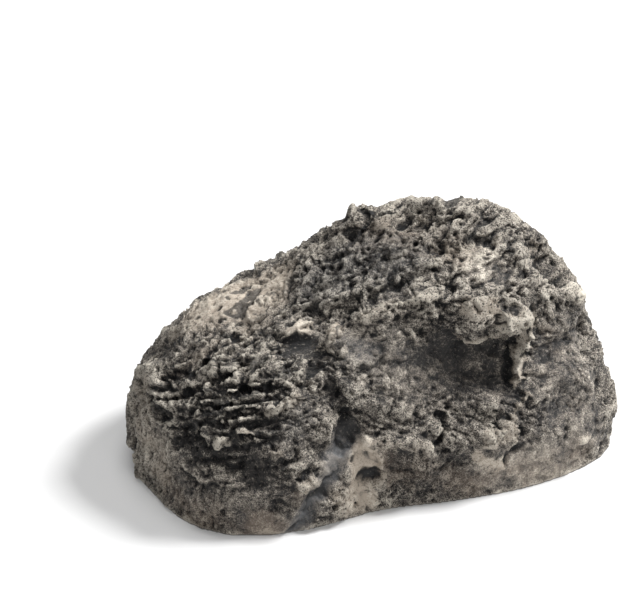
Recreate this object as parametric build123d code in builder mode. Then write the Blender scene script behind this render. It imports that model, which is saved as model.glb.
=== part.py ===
"""Hollow imitation stone that hides a spare key.

The stone is a cast shell. A moulded base plate closes its underside and carries a key tub,
and a lid slides out to the left along rails in the plate. Millimetres, +Z up, the stone's
long way along X, its shown face towards -Y, and its rim standing on Z = 0.
"""

from build123d import *
import os
from math import cos, hypot, radians, sin
from random import Random

os.makedirs("parts", exist_ok=True)

# ---- the stone's overall size ----
rock_length = 110.0
rock_depth = 76.0
rock_height = 57.5

# ---- how far the stone reaches at each height, as shares of its overall size ----
# Each row: height, centre to the right, centre to the back, then the reach in twelve bearings,
# every 30 degrees anticlockwise from the right (+X), through the back (+Y), round to the front.
CONTOURS = [
    (0.000, 0.000, 0.000, (0.98, 1.01, 1.02, 0.99, 1.00, 0.98, 0.98, 1.01, 1.10, 0.71, 0.68, 0.80)),
    (0.210, 0.000, 0.000, (1.00, 1.01, 1.00, 0.97, 0.98, 0.98, 1.00, 1.01, 1.09, 0.73, 0.70, 0.82)),
    (0.380, 0.000, 0.000, (0.95, 0.95, 0.94, 0.91, 0.91, 0.91, 0.96, 0.96, 1.00, 0.63, 0.60, 0.71)),
    (0.570, 0.036, 0.105, (0.84, 0.83, 0.80, 0.72, 0.73, 0.71, 0.79, 0.80, 0.80, 0.62, 0.50, 0.63)),
    (0.680, 0.110, 0.158, (0.71, 0.70, 0.64, 0.57, 0.60, 0.60, 0.61, 0.52, 0.55, 0.56, 0.60, 0.63)),
    (0.785, 0.218, 0.184, (0.54, 0.52, 0.44, 0.40, 0.42, 0.46, 0.54, 0.44, 0.41, 0.46, 0.47, 0.50)),
    (0.890, 0.255, 0.237, (0.40, 0.36, 0.27, 0.22, 0.27, 0.34, 0.41, 0.30, 0.24, 0.25, 0.28, 0.34)),
    (0.960, 0.270, 0.240, (0.29, 0.24, 0.16, 0.13, 0.16, 0.22, 0.28, 0.20, 0.14, 0.13, 0.16, 0.22)),
    (1.000, 0.340, 0.250, (0.14, 0.11, 0.06, 0.05, 0.06, 0.10, 0.14, 0.09, 0.06, 0.05, 0.06, 0.10)),
]
skin_corner_count = 48
cavity_corner_count = 24
HOLLOWED_ROWS = 6

# ---- what stands out of the stone's face or goes into it ----
# Each row: the place to the right and to the back of the middle and above the foot, as shares
# of half the length, half the depth and the height; then how wide and how high or deep it is
# there, as shares of the height.
FORMS = [
    (-0.62, -0.63, 0.45, 0.26, 0.018),  # the lobe's bulge
    (-0.60, -0.86, 0.25, 0.15, -0.030),  # the undercut below it
    (-0.31, -0.47, 0.60, 0.13, -0.032),  # the saddle between the lobe and the mass
    (-0.11, -0.68, 0.40, 0.09, -0.038),  # the groove, from top to foot
    (-0.13, -0.78, 0.28, 0.09, -0.042),
    (-0.18, -0.85, 0.15, 0.09, -0.040),
    (-0.03, -0.75, 0.17, 0.11, -0.030),  # the smooth hollow beside it
    (0.14, -0.62, 0.30, 0.10, 0.022),  # swellings right of the groove
    (0.02, -0.27, 0.74, 0.11, 0.026),  # the brow, from left to right
    (0.22, -0.29, 0.76, 0.11, 0.030),
    (0.42, -0.28, 0.74, 0.11, 0.030),
    (0.38, -0.33, 0.53, 0.15, -0.052),  # the hollow under the brow
    (0.50, -0.30, 0.50, 0.13, -0.040),
    (0.58, -0.25, 0.64, 0.08, 0.046),  # the outcrop
    (0.60, -0.24, 0.54, 0.07, 0.040),
    (0.52, -0.48, 0.28, 0.13, 0.018),  # the swelling below the outcrop
    (0.64, -0.44, 0.17, 0.09, -0.024),  # the crease at the lower right
    (0.80, 0.10, 0.67, 0.09, 0.040),  # the knob on the right shoulder
    (0.72, 0.06, 0.84, 0.12, -0.050),  # the dents above and below it
    (0.88, 0.00, 0.54, 0.14, -0.060),
    (-0.92, 0.08, 0.42, 0.14, -0.046),  # the dent at the left shoulder
    (-0.03, 0.18, 0.93, 0.08, -0.030),  # dents on top
    (0.30, 0.40, 0.97, 0.09, -0.020),
    (-0.45, 0.50, 0.60, 0.16, -0.030),  # the back: two hollows and a swelling
    (0.20, 0.80, 0.45, 0.18, -0.035),
    (0.55, 0.62, 0.50, 0.16, 0.028),
]
MIDDLE = (0.15, 0.15, 0.10)
knap_height = 1.1
knap_outwards = 0.25
knap_seed = 11
settled_share = 0.20

# ---- the shell's walls ----
rim_width = 5.0
shell_wall = 8.0

# ---- the base plate, its gasket and its screws ----
plate_recess = 1.0
plate_thickness = 4.6
plate_gap = 0.3
plate_chamfer = 0.5
gasket_thickness = 1.0
BOSS_CORNERS = (0, 4, 8, 16)
boss_inset = 9.2
boss_radius = 3.7
boss_height = 9.0
insert_radius = 1.9
insert_length = 5.0
screw_gap = 0.05
base_screw_radius = 1.2
base_screw_head_radius = 2.35
base_screw_length = 9.5
countersink_angle = 90.0
recess_length = 2.4
recess_width = 0.6
recess_depth = 0.8

# ---- the key compartment ----
compartment_length = 60.0
compartment_width = 25.0
compartment_height = 15.0
compartment_x = -4.5
compartment_y = 4.0
corner_radius = 4.0
tub_wall = 1.6
tub_lip = 1.2
tub_draft = 1.5
tub_roof_chamfer = 1.0
ear_radius = 2.9
ear_reach = 3.3
side_ear_share = -0.255
tub_screw_radius = 1.0
tub_screw_head_radius = 1.9
tub_screw_head_height = 1.3
tub_screw_head_chamfer = 0.4
tub_screw_bite = 3.6

# ---- the sliding lid and its rails ----
lid_gap = 0.3
rail_lip_thickness = 1.0
rail_lip_width = 2.2
lid_tongue_thickness = 1.2
lid_overlap = 2.5
lid_left_end = 7.5
lid_travel = 56.0
lid_corner_radius = 1.5
stop_length = 1.6
stop_width = 6.0
stop_depth = 0.8
stop_setback = 2.4
grip_count = 5
grip_pitch = 2.2
grip_bar = 1.0
grip_width = 14.0
grip_height = 0.5
grip_setback = 8.0
notch_gap = 0.8

# ---- heights that follow ----
plate_top = plate_recess + plate_thickness
ledge_height = plate_top + gasket_thickness
tongue_bottom = plate_recess + rail_lip_thickness + lid_gap
lid_top = tongue_bottom + lid_tongue_thickness
channel_roof = lid_top + lid_gap

# ---- plan places that follow ----
inner_left = compartment_x - compartment_length / 2
inner_right = compartment_x + compartment_length / 2
lid_width = compartment_width + 2 * lid_overlap
lid_left = inner_left - lid_left_end
lid_right = inner_right + tub_wall
channel_width = lid_width + 2 * lid_gap
mouth_width = channel_width - 2 * rail_lip_width
channel_right = lid_right + lid_gap
stop_x = inner_left - tub_wall - stop_setback
side_ear_x = side_ear_share * rock_length / 2
ear_offset = channel_width / 2 + ear_reach
TUB_EARS = [
    (side_ear_x, compartment_y - ear_offset),
    (side_ear_x, compartment_y + ear_offset),
    (channel_right + ear_reach, compartment_y),
]


def reach_at(reaches, turn):
    """The reach at this share of a turn: a smooth curve through the row's twelve bearings."""
    spot = turn * len(reaches)
    i = int(spot)
    t = spot - i
    before, here, after, beyond = (reaches[(i + k) % len(reaches)] for k in (-1, 0, 1, 2))
    slope = (after - before) / 2
    far_slope = (beyond - here) / 2
    bend = 3 * (after - here) - 2 * slope - far_slope
    twist = 2 * (here - after) + slope + far_slope
    return here + slope * t + bend * t**2 + twist * t**3


def contour_points(row, inset, corners, stagger=0.0):
    """The corners of the stone's outline at one row's height, drawn in by this much."""
    height, shift_x, shift_y, reaches = row
    points = []
    for step in range(corners):
        turn = (step + stagger) / corners
        reach = reach_at(reaches, turn)
        bearing = radians(360 * turn)
        out_x = reach * cos(bearing) * rock_length / 2
        out_y = reach * sin(bearing) * rock_depth / 2
        kept = 1 - inset / hypot(out_x, out_y)
        x = shift_x * rock_length / 2 + out_x * kept
        y = shift_y * rock_depth / 2 + out_y * kept
        points.append(Vector(x, y, height * rock_height))
    return points


def contour_face(inset, height):
    """The outline of the stone's foot, drawn in by this much, as a face at this height."""
    with BuildSketch(Plane.XY.offset(height)) as outline:
        with BuildLine():
            Polyline(contour_points(CONTOURS[0], inset, cavity_corner_count), close=True)
        make_face()
    return outline.sketch


def row_between(lower, upper):
    """The row halfway between two."""
    middle = [(low + high) / 2 for low, high in zip(lower[:3], upper[:3])]
    return (*middle, tuple((low + high) / 2 for low, high in zip(lower[3], upper[3])))


def on_stone(right, back, up):
    """The point at these shares of half the length, half the depth and the height."""
    return Vector(right * rock_length / 2, back * rock_depth / 2, up * rock_height)


def weathered(point, chance):
    """A corner of the skin, moved in or out by the forms near it and by a chance amount."""
    lift = chance * knap_height
    for right, back, up, width, height in FORMS:
        gap = (point - on_stone(right, back, up)).length / (width * rock_height)
        lift += height * rock_height * max(0, 1 - gap**2) ** 2
    lift *= min(1, point.Z / (settled_share * rock_height))
    return point + (point - on_stone(*MIDDLE)).normalized() * lift


def faceted(rings):
    """A solid skinned over these rings of corners in flat facets of three corners."""
    facets = [Face(Wire.make_polygon(rings[0])), Face(Wire.make_polygon(rings[-1]))]
    for lower, upper in zip(rings, rings[1:]):
        for i in range(len(lower)):
            j = (i + 1) % len(lower)
            if (upper[j] - lower[i]).length < (upper[i] - lower[j]).length:
                halves = (lower[i], lower[j], upper[j]), (lower[i], upper[j], upper[i])
            else:
                halves = (lower[i], lower[j], upper[i]), (lower[j], upper[j], upper[i])
            facets += [Face(Wire.make_polygon(half)) for half in halves]
    return Solid(Shell(facets))


boss_ring = contour_points(CONTOURS[0], boss_inset, cavity_corner_count)
BOSSES = [(boss_ring[corner].X, boss_ring[corner].Y) for corner in BOSS_CORNERS]


# ---- the stone: a cast shell with a ledge for the plate and a boss over each base screw ----
skin_rows = [CONTOURS[0]]
for lower, upper in zip(CONTOURS, CONTOURS[1:]):
    skin_rows += [row_between(lower, upper), upper]
knapping = Random(knap_seed)
skin_rings = [
    contour_points(row, 0, skin_corner_count, stagger=0.5 * (number % 2))
    for number, row in enumerate(skin_rows)
]
for ring in skin_rings[1:-1]:
    ring[:] = [weathered(corner, knapping.uniform(-1, knap_outwards)) for corner in ring]
cavity_rings = [contour_points(row, shell_wall, cavity_corner_count) for row in CONTOURS[:HOLLOWED_ROWS]]
stone = faceted(skin_rings)
cavity = faceted(cavity_rings)
with BuildPart() as rock_shell:
    add(stone)
    add(cavity, mode=Mode.SUBTRACT)
    extrude(contour_face(rim_width, 0), amount=ledge_height, mode=Mode.SUBTRACT)
    with BuildSketch(Plane.XY.offset(ledge_height)):
        with Locations(BOSSES):
            Circle(boss_radius)
    extrude(amount=boss_height)
    with BuildSketch(Plane.XY.offset(ledge_height)):
        with Locations(BOSSES):
            Circle(insert_radius)
    extrude(amount=insert_length, mode=Mode.SUBTRACT)
    # the lid leaves through a notch in the rim, on the left
    with BuildSketch():
        with Locations((stop_x, compartment_y)):
            Rectangle(rock_length, lid_width + 2 * notch_gap, align=(Align.MAX, Align.CENTER))
    extrude(amount=lid_top + notch_gap, mode=Mode.SUBTRACT)

# ---- threaded inserts, pressed into the bosses from below ----
with BuildPart() as boss_inserts:
    with BuildSketch(Plane.XY.offset(ledge_height)):
        with Locations(BOSSES):
            Circle(insert_radius)
            Circle(base_screw_radius + screw_gap, mode=Mode.SUBTRACT)
    extrude(amount=insert_length)

# ---- the gasket: a ring under the ledge, with an eye at each screw, no wider than the plate ----
gasket_outline = contour_face(rim_width + plate_gap, plate_top)
with BuildPart() as base_gasket:
    extrude(gasket_outline, amount=gasket_thickness)
    extrude(contour_face(shell_wall, plate_top), amount=gasket_thickness, mode=Mode.SUBTRACT)
    with BuildSketch(Plane.XY.offset(plate_top)):
        with Locations(BOSSES):
            Circle(boss_radius)
    extrude(amount=gasket_thickness)
    extrude(gasket_outline, amount=gasket_thickness, mode=Mode.INTERSECT)
    with Locations(Plane.XY.offset(ledge_height)):
        with Locations(BOSSES):
            Hole(insert_radius, depth=gasket_thickness)

# ---- the base plate: the lid's channel, the window into the tub and the lid's stop ----
with BuildPart() as base_plate:
    extrude(contour_face(rim_width + plate_gap, plate_recess), amount=plate_thickness)
    chamfer(base_plate.faces().sort_by(Axis.Z)[0].edges(), plate_chamfer)
    with BuildSketch(Plane.XY.offset(plate_recess + rail_lip_thickness)):
        with Locations((channel_right, compartment_y)):
            Rectangle(rock_length, channel_width, align=(Align.MAX, Align.CENTER))
    extrude(amount=channel_roof - plate_recess - rail_lip_thickness, mode=Mode.SUBTRACT)
    with BuildSketch(Plane.XY.offset(plate_recess)):
        with Locations((channel_right, compartment_y)):
            Rectangle(rock_length, mouth_width, align=(Align.MAX, Align.CENTER))
    extrude(amount=rail_lip_thickness, mode=Mode.SUBTRACT)
    with BuildSketch(Plane.XY.offset(channel_roof)):
        with Locations((compartment_x, compartment_y)):
            RectangleRounded(compartment_length, compartment_width, corner_radius)
    extrude(amount=plate_top - channel_roof, mode=Mode.SUBTRACT)
    with BuildSketch(Plane.XY.offset(channel_roof)):
        with Locations((stop_x, compartment_y)):
            Rectangle(stop_length, stop_width)
    extrude(amount=-lid_gap - stop_depth)
    with Locations(Plane(origin=(0, 0, plate_recess), x_dir=(1, 0, 0), z_dir=(0, 0, -1))):
        with Locations([(x, -y) for x, y in BOSSES]):
            CounterSinkHole(
                base_screw_radius + screw_gap,
                base_screw_head_radius + screw_gap,
                depth=plate_thickness,
                counter_sink_angle=countersink_angle,
            )
    with Locations(Plane.XY.offset(plate_top)):
        with Locations(TUB_EARS):
            Hole(tub_screw_radius + screw_gap, depth=tub_screw_bite + screw_gap)

# ---- base screws, up through the plate into the inserts ----
head_cone = base_screw_head_radius - base_screw_radius
with BuildPart() as base_screws:
    for x, y in BOSSES:
        with BuildSketch(Plane(origin=(x, y, plate_recess), x_dir=(1, 0, 0), z_dir=(0, -1, 0))):
            with BuildLine():
                Polyline(
                    (0, 0),
                    (base_screw_head_radius, 0),
                    (base_screw_radius, head_cone),
                    (base_screw_radius, base_screw_length),
                    (0, base_screw_length),
                    close=True,
                )
            make_face()
        revolve(axis=Axis((x, y, 0), (0, 0, 1)))
    with BuildSketch(Plane.XY.offset(plate_recess)):
        with Locations(BOSSES):
            Rectangle(recess_length, recess_width)
            Rectangle(recess_width, recess_length)
    extrude(amount=recess_depth, mode=Mode.SUBTRACT)

# ---- the key tub: drafted walls, a closed roof, a sealing lip and three screw ears ----
with BuildPart() as key_tub:
    with BuildSketch(Plane.XY.offset(plate_top)):
        with Locations((compartment_x, compartment_y)):
            RectangleRounded(
                compartment_length + 2 * (tub_wall + tub_lip),
                compartment_width + 2 * (tub_wall + tub_lip),
                corner_radius + tub_wall + tub_lip,
            )
        with Locations(TUB_EARS):
            Circle(ear_radius)
        with Locations((side_ear_x, compartment_y)):
            Rectangle(2 * ear_radius, 2 * ear_offset)
        with Locations((channel_right + ear_reach, compartment_y)):
            Rectangle(compartment_length / 2, 2 * ear_radius, align=(Align.MAX, Align.CENTER))
    extrude(amount=tub_wall)
    with BuildSketch(Plane.XY.offset(plate_top)):
        with Locations((compartment_x, compartment_y)):
            RectangleRounded(
                compartment_length + 2 * tub_wall,
                compartment_width + 2 * tub_wall,
                corner_radius + tub_wall,
            )
    extrude(amount=compartment_height + tub_wall, taper=tub_draft)
    chamfer(key_tub.faces().sort_by(Axis.Z)[-1].edges(), tub_roof_chamfer)
    with BuildSketch(Plane.XY.offset(plate_top)):
        with Locations((compartment_x, compartment_y)):
            RectangleRounded(compartment_length, compartment_width, corner_radius)
    extrude(amount=compartment_height, taper=tub_draft, mode=Mode.SUBTRACT)
    with Locations(Plane.XY.offset(plate_top + tub_wall)):
        with Locations(TUB_EARS):
            Hole(tub_screw_radius + screw_gap, depth=tub_wall)

# ---- tub screws, down through the ears into the plate ----
with BuildPart() as tub_screws:
    with BuildSketch(Plane.XY.offset(plate_top + tub_wall)):
        with Locations(TUB_EARS):
            Circle(tub_screw_head_radius)
    extrude(amount=tub_screw_head_height)
    chamfer(tub_screws.faces().group_by(Axis.Z)[-1].edges(), tub_screw_head_chamfer)
    with BuildSketch(Plane.XY.offset(plate_top + tub_wall)):
        with Locations(TUB_EARS):
            Circle(tub_screw_radius)
    extrude(amount=-tub_wall - tub_screw_bite)
    with BuildSketch(Plane.XY.offset(plate_top + tub_wall + tub_screw_head_height)):
        with Locations(TUB_EARS):
            Rectangle(recess_length, recess_width)
            Rectangle(recess_width, recess_length)
    extrude(amount=-recess_depth, mode=Mode.SUBTRACT)

# ---- the sliding lid: a panel with a tongue along each side, grip bars and the stop's groove ----
with BuildPart() as compartment_lid:
    with BuildSketch(Plane.XY.offset(plate_recess)):
        with Locations((lid_left, compartment_y)):
            Rectangle(lid_right - lid_left, mouth_width - 2 * lid_gap, align=(Align.MIN, Align.CENTER))
    extrude(amount=lid_top - plate_recess)
    with BuildSketch(Plane.XY.offset(tongue_bottom)):
        with Locations((lid_left, compartment_y)):
            Rectangle(lid_right - lid_left, lid_width, align=(Align.MIN, Align.CENTER))
    extrude(amount=lid_tongue_thickness)
    fillet(compartment_lid.edges().filter_by(Axis.Z), lid_corner_radius)
    groove_left = stop_x - stop_length / 2 - lid_gap
    with BuildSketch(Plane.XY.offset(lid_top)):
        with Locations((groove_left, compartment_y)):
            Rectangle(
                lid_travel + stop_length + 2 * lid_gap,
                stop_width + 2 * lid_gap,
                align=(Align.MIN, Align.CENTER),
            )
    extrude(amount=-stop_depth - lid_gap, mode=Mode.SUBTRACT)
    with BuildSketch(Plane.XY.offset(plate_recess)):
        with Locations((lid_left + grip_setback, compartment_y)):
            with GridLocations(grip_pitch, 0, grip_count, 1):
                Rectangle(grip_bar, grip_width)
    extrude(amount=-grip_height)

PIECES = {
    "rock_shell": rock_shell,
    "boss_inserts": boss_inserts,
    "base_gasket": base_gasket,
    "base_plate": base_plate,
    "base_screws": base_screws,
    "key_tub": key_tub,
    "tub_screws": tub_screws,
    "compartment_lid": compartment_lid,
}
for name, piece in PIECES.items():
    piece.part.label = name
    export_step(piece.part, f"parts/{name}.step")
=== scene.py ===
# %% [markdown]
# # An imitation stone that hides a key
#
# The stone is a cast resin shell, painted to pass for weathered lava. A moulded plate with a
# sliding lid closes its underside. The CAD model is loaded first and never moved. Only the
# stone's skin is made anew, because a CAD solid can't carry thousands of pits; the plate, the
# lid and the small hardware keep their CAD shapes and get finishes.

# %% Load the frame
import math

import bmesh
import bpy
import numpy as np
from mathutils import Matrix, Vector, noise
from mathutils.bvhtree import BVHTree


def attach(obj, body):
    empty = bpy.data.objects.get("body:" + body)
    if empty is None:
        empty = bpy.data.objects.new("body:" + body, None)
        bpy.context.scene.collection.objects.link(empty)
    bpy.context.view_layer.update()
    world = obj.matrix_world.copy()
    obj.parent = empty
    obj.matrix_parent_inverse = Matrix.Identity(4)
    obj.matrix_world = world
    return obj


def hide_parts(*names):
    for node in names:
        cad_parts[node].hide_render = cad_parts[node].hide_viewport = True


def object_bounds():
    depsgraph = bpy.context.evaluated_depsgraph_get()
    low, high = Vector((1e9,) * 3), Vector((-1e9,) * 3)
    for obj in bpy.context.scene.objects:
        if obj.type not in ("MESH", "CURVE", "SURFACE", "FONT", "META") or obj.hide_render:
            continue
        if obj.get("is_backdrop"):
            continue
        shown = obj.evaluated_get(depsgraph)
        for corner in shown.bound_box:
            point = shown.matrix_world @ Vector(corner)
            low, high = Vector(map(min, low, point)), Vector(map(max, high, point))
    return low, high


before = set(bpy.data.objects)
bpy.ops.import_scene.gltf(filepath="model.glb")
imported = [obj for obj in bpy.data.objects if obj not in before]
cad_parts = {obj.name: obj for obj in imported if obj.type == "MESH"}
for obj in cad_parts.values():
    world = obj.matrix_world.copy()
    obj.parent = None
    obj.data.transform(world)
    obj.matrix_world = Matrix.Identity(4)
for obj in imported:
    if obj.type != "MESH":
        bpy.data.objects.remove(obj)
cad_box = [list(corner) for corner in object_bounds()]
MM = 0.001
print("loaded", sorted(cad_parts))

# %% [markdown]
# Before anything is made, the camera is placed as the photograph's was: about 30 degrees above
# the table, straight at the stone's face, with a long lens from far away. A long lens keeps the
# outline almost parallel. The floor is a large pale sheet that is staged, so it isn't a piece.

# %% Camera
IMAGE_WIDTH, IMAGE_HEIGHT = 640, 601
FOCAL_PIXELS = 3560
CAMERA_HEIGHT_ANGLE = math.radians(30)
CAMERA_DISTANCE = 800 * MM
AIM = Vector((-11.2, 16.4, 28.4)) * MM

towards_camera = Vector((0, -math.cos(CAMERA_HEIGHT_ANGLE), math.sin(CAMERA_HEIGHT_ANGLE)))
camera_data = bpy.data.cameras.new("photo_camera")
camera_data.sensor_width = 36
camera_data.lens = FOCAL_PIXELS / IMAGE_WIDTH * camera_data.sensor_width
camera = bpy.data.objects.new("photo_camera", camera_data)
bpy.context.scene.collection.objects.link(camera)
camera.location = AIM + towards_camera * CAMERA_DISTANCE
camera.rotation_mode = "QUATERNION"
camera.rotation_quaternion = (-towards_camera).to_track_quat("-Z", "Y")
bpy.context.scene.camera = camera
print("camera at", [round(c, 3) for c in camera.location])

# %% [markdown]
# Every finish and the weathering below are node trees. Two small helpers keep them readable:
# `add` makes a node and feeds its inputs with values or with other nodes' outputs, and `calc`
# is one step of arithmetic.

# %% Node helpers
def add(tree, kind, feed=None, **settings):
    node = tree.nodes.new(kind)
    for name, value in settings.items():
        setattr(node, name, value)
    for key, value in (feed or {}).items():
        if isinstance(value, bpy.types.NodeSocket):
            tree.links.new(value, node.inputs[key])
        else:
            node.inputs[key].default_value = value
    return node


def calc(tree, operation, *values, clamp=False):
    node = add(tree, "ShaderNodeMath", dict(enumerate(values)), operation=operation)
    node.use_clamp = clamp
    return node.outputs[0]


def between(tree, value, low, high, to_low=0.0, to_high=1.0):
    feed = {0: value, 1: low, 2: high, 3: to_low, 4: to_high}
    return add(tree, "ShaderNodeMapRange", feed, interpolation_type="SMOOTHSTEP").outputs[0]


def paint(red, green, blue):
    shares = [channel / 255 for channel in (red, green, blue)]
    linear = [c / 12.92 if c <= 0.04045 else ((c + 0.055) / 1.055) ** 2.4 for c in shares]
    return (*linear, 1.0)


def mixed(tree, share, first, second, blend="MIX"):
    node = tree.nodes.new("ShaderNodeMix")
    node.data_type, node.blend_type = "RGBA", blend
    for key, value in ((0, share), (6, first), (7, second)):
        if isinstance(value, bpy.types.NodeSocket):
            tree.links.new(value, node.inputs[key])
        else:
            node.inputs[key].default_value = value
    return node.outputs[2]


def new_finish(name):
    finish = bpy.data.materials.new(name)
    finish.use_nodes = True
    tree = finish.node_tree
    shader = tree.nodes["Principled BSDF"]
    place = tree.nodes.new("ShaderNodeTexCoord").outputs["Object"]
    return finish, tree, shader, place


# %% Floor and light
floor_finish, tree, shader, place = new_finish("pale_table")
shader.inputs["Base Color"].default_value = (0.62, 0.62, 0.62, 1)
shader.inputs["Roughness"].default_value = 0.9
shader.inputs["Specular IOR Level"].default_value = 0.1
glow = add(tree, "ShaderNodeEmission", {"Color": (1, 1, 1, 1), "Strength": 0.12})
both = add(tree, "ShaderNodeAddShader", {0: shader.outputs[0], 1: glow.outputs[0]})
from_below = tree.nodes.new("ShaderNodeNewGeometry").outputs["Backfacing"]
clear = tree.nodes.new("ShaderNodeBsdfTransparent").outputs[0]
one_sided = add(tree, "ShaderNodeMixShader", {0: from_below, 1: both.outputs[0], 2: clear})
tree.links.new(one_sided.outputs[0], tree.nodes["Material Output"].inputs["Surface"])

bpy.ops.mesh.primitive_plane_add(size=6)
floor = bpy.context.object
floor.name = "table_top"
floor.data.materials.append(floor_finish)
floor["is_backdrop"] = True

LAMPS = {
    "softbox_right_back": ((0.48, 0.18, 0.62), 0.26, 11.5),
    "softbox_above": ((-0.05, 0.15, 0.85), 0.45, 3.4),
    "fill_front": ((0.30, -0.80, 0.38), 0.50, 1.7),
}
for name, (spot, size, power) in LAMPS.items():
    lamp_data = bpy.data.lights.new(name, "AREA")
    lamp_data.shape, lamp_data.size, lamp_data.energy = "SQUARE", size, power
    lamp = bpy.data.objects.new(name, lamp_data)
    bpy.context.scene.collection.objects.link(lamp)
    lamp.location = spot
    lamp.rotation_mode = "QUATERNION"
    lamp.rotation_quaternion = (Vector((0, 0, 0.02)) - lamp.location).to_track_quat("-Z", "Y")

world = bpy.data.worlds.new("white_room")
bpy.context.scene.world = world
world.use_nodes = True
world_tree = world.node_tree
path = world_tree.nodes.new("ShaderNodeLightPath")
seen = calc(world_tree, "MAXIMUM", path.outputs["Is Camera Ray"], path.outputs["Is Glossy Ray"])
seen = calc(world_tree, "MAXIMUM", seen, path.outputs["Is Transmission Ray"])
strength = between(world_tree, seen, 0.0, 1.0, 0.22, 1.0)
background = world_tree.nodes["Background"]
background.inputs["Color"].default_value = (1, 1, 1, 1)
world_tree.links.new(strength, background.inputs["Strength"])
bpy.context.scene.view_settings.view_transform = "Standard"

# %% [markdown]
# The stone's skin starts as a merged copy of the CAD shell, remeshed to an even net of small
# squares. A sculptor would work on such a net too: it has the same number of points everywhere,
# so it takes pits and ridges wherever they are wanted.

# %% Copy the shell and remesh it
NET_SIZE = 0.40 * MM


def as_object(name, mesh):
    made = bpy.data.objects.new(name, mesh)
    bpy.context.scene.collection.objects.link(made)
    return made


def evaluated_mesh(obj):
    shown = obj.evaluated_get(bpy.context.evaluated_depsgraph_get())
    return bpy.data.meshes.new_from_object(shown)


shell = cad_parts["rock_shell"]
merged = bmesh.new()
merged.from_mesh(shell.data)
bmesh.ops.remove_doubles(merged, verts=merged.verts, dist=0.005 * MM)
bmesh.ops.recalc_face_normals(merged, faces=merged.faces)
shell_tree = BVHTree.FromBMesh(merged)
rough_mesh = bpy.data.meshes.new("stone_net")
merged.to_mesh(rough_mesh)
merged.free()
net = as_object("stone_net", rough_mesh)
remesh = net.modifiers.new("even_net", "REMESH")
remesh.mode, remesh.voxel_size, remesh.adaptivity = "VOXEL", NET_SIZE, 0.0
stone_mesh = evaluated_mesh(net)
bpy.data.objects.remove(net)
print("net of", len(stone_mesh.vertices), "points")


# %% Read and write the net with numpy
def read_points(mesh):
    flat = np.empty(len(mesh.vertices) * 3, np.float32)
    mesh.vertices.foreach_get("co", flat)
    return flat.reshape(-1, 3).astype(float) / MM


def write_points(mesh, points):
    mesh.vertices.foreach_set("co", (points * MM).astype(np.float32).ravel())
    mesh.update()


def read_normals(mesh):
    flat = np.empty(len(mesh.vertices) * 3, np.float32)
    mesh.vertex_normals.foreach_get("vector", flat)
    return flat.reshape(-1, 3).astype(float)


def write_value(mesh, name, values):
    layer = mesh.attributes.get(name) or mesh.attributes.new(name, "FLOAT", "POINT")
    layer.data.foreach_set("value", np.asarray(values, np.float32))


class Neighbours:
    """Averages a value over each point's neighbours in the net."""

    def __init__(self, mesh):
        ends = np.empty(len(mesh.edges) * 2, np.int32)
        mesh.edges.foreach_get("vertices", ends)
        ends = ends.reshape(-1, 2)
        self.near = np.concatenate([ends[:, 0], ends[:, 1]])
        self.far = np.concatenate([ends[:, 1], ends[:, 0]])
        self.count = len(mesh.vertices)
        self.shared = np.maximum(np.bincount(self.near, minlength=self.count), 1)

    def average(self, values):
        columns = np.atleast_2d(values.T)
        sums = [np.bincount(self.near, column[self.far], self.count) for column in columns]
        result = np.array(sums) / self.shared
        return result.T if values.ndim > 1 else result[0]

    def relax(self, values, rounds, share=1.0):
        for _ in range(rounds):
            values = values + (self.average(values) - values) * share
        return values


# %% [markdown]
# Only the outside is weathered. A point belongs to the outside if a ray shot at it from far
# away, towards the middle of the stone, meets it first. The rim that stands on the table and
# the notch that lets the lid out stay as the CAD has them.

# %% Tell the outside from the inside
MIDDLE = np.array([8.0, 6.0, 6.0])
NOTCH_FRONT, NOTCH_BACK, NOTCH_TOP, NOTCH_RIGHT = -12.4, 20.4, 5.2, -40.0
points = read_points(stone_mesh)
outwards = points - MIDDLE
outwards /= np.linalg.norm(outwards, axis=1)[:, None]
outside = np.zeros(len(points))
for i, (point, way) in enumerate(zip(points * MM, outwards)):
    start = point + way * 0.2
    hit = shell_tree.ray_cast(Vector(start), Vector(-way))[3]
    outside[i] = hit is not None and abs(hit - 0.2) < 1.2 * MM
outside[(read_normals(stone_mesh) * outwards).sum(1) < -0.25] = 0
outside[points[:, 2] < 0.3] = 0
in_notch = (points[:, 0] < NOTCH_RIGHT) & (points[:, 2] < NOTCH_TOP)
in_notch &= (points[:, 1] > NOTCH_FRONT) & (points[:, 1] < NOTCH_BACK)
outside[in_notch] = 0
links = Neighbours(stone_mesh)
free = np.minimum(links.relax(outside, 4), outside)
print("outside points", int(outside.sum()))

# %% Smooth the CAD's facets away, but keep a wall
FACET_ROUNDS, LEAST_WALL = 45, 0.7
faces = [tuple(face.vertices) for face in stone_mesh.polygons]
hidden = (outside == 0) & (points[:, 2] > 0.6)
inner_faces = [face for face in faces if all(hidden[list(face)])]
inner_tree = BVHTree.FromPolygons([Vector(p) for p in points], inner_faces)


def room_inwards(points):
    """How far each point of the skin may go in before less than the least wall is left."""
    room = np.full(len(points), 9.0)
    for i in np.flatnonzero(free > 0):
        near = inner_tree.find_nearest(Vector(points[i]), 9.0)[3]
        room[i] = 9.0 if near is None else near - LEAST_WALL
    return room


for _ in range(FACET_ROUNDS):
    points += (links.average(points) - points) * (0.9 * free)[:, None]
write_points(stone_mesh, points)
normals = read_normals(stone_mesh)
room = room_inwards(points)
print("room after smoothing", np.percentile(room[free > 0], [0, 1, 5, 25, 50]).round(2))
points += normals * (links.relax(np.maximum(0.9 - room, 0), 6) * free)[:, None]
write_points(stone_mesh, points)
room = room_inwards(points)

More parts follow.
